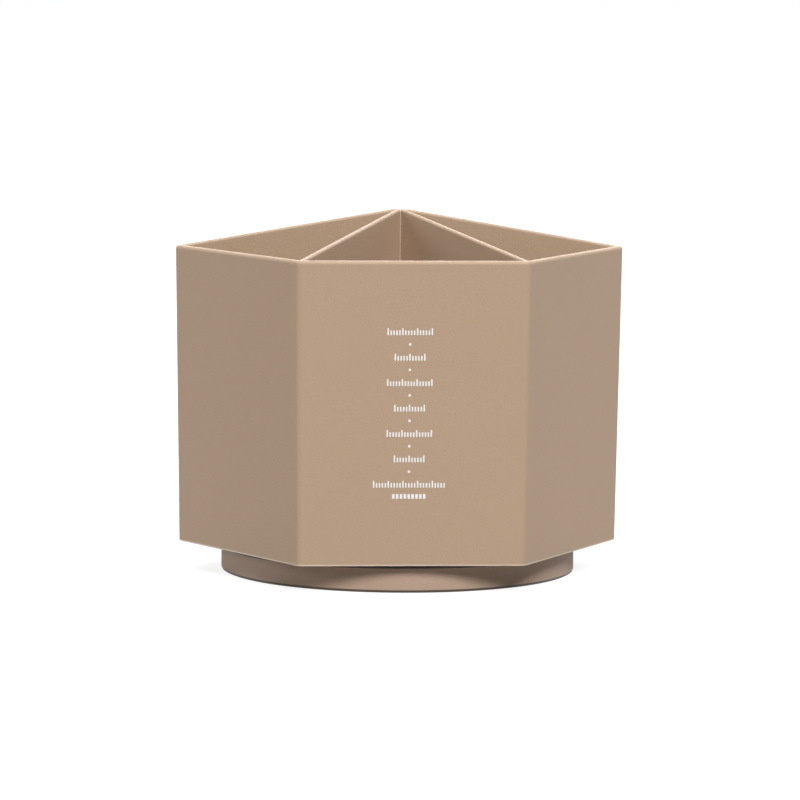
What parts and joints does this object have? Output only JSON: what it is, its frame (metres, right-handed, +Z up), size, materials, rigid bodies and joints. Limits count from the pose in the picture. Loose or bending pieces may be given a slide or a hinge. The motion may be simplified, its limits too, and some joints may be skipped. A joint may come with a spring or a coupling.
{
  "type": "rotating pen pot",
  "caption": "Hexagonal pen pot with triangular cells whose dividers rise to a central peak, turning without limit on a low round base with rollers.",
  "frame": {"origin": "centre of the base's underside, on the turning axis, at the surface that the base stands on", "axes": "+Z up along the turning axis; -Y is the normal of the pot's front wall at rest; +X points to the pot's right-hand corner"},
  "size_m": [0.1492, 0.1298, 0.1207],
  "materials": {
    "pot_plastic": "fine sand-textured khaki, matt",
    "base_plastic": "fine sand-textured khaki, matt",
    "cover_plastic": "fine sand-textured khaki, matt",
    "cage_plastic": "smooth black acetal",
    "washer_steel": "zinc-plated",
    "screw_steel": "bright zinc-plated",
    "roller_plastic": "smooth white acetal"
  },
  "bodies": {
    "base": {"base_shell": "base_plastic", "base_cover": "cover_plastic"},
    "race": {"roller_cage": "cage_plastic", "roller_01": "roller_plastic", "roller_02": "roller_plastic", "roller_03": "roller_plastic", "roller_04": "roller_plastic", "roller_05": "roller_plastic", "roller_06": "roller_plastic", "roller_07": "roller_plastic", "roller_08": "roller_plastic", "roller_09": "roller_plastic", "roller_10": "roller_plastic", "roller_11": "roller_plastic", "roller_12": "roller_plastic", "roller_13": "roller_plastic", "roller_14": "roller_plastic"},
    "pot": {"pot": "pot_plastic", "flat_washer": "washer_steel", "centre_screw": "screw_steel"}
  },
  "joints": [
    {"name": "pot_spin", "type": "hinge", "parent": "base", "child": "pot", "pos_m": [0, 0, 0], "axis": [0, 0, 1], "continuous": true},
    {"name": "race_spin", "type": "hinge", "parent": "base", "child": "race", "pos_m": [0, 0, 0], "axis": [0, 0, 1], "continuous": true}
  ],
  "couplings": [
    {"joint": "race_spin", "follows": "pot_spin", "ratio": 0.5}
  ]
}
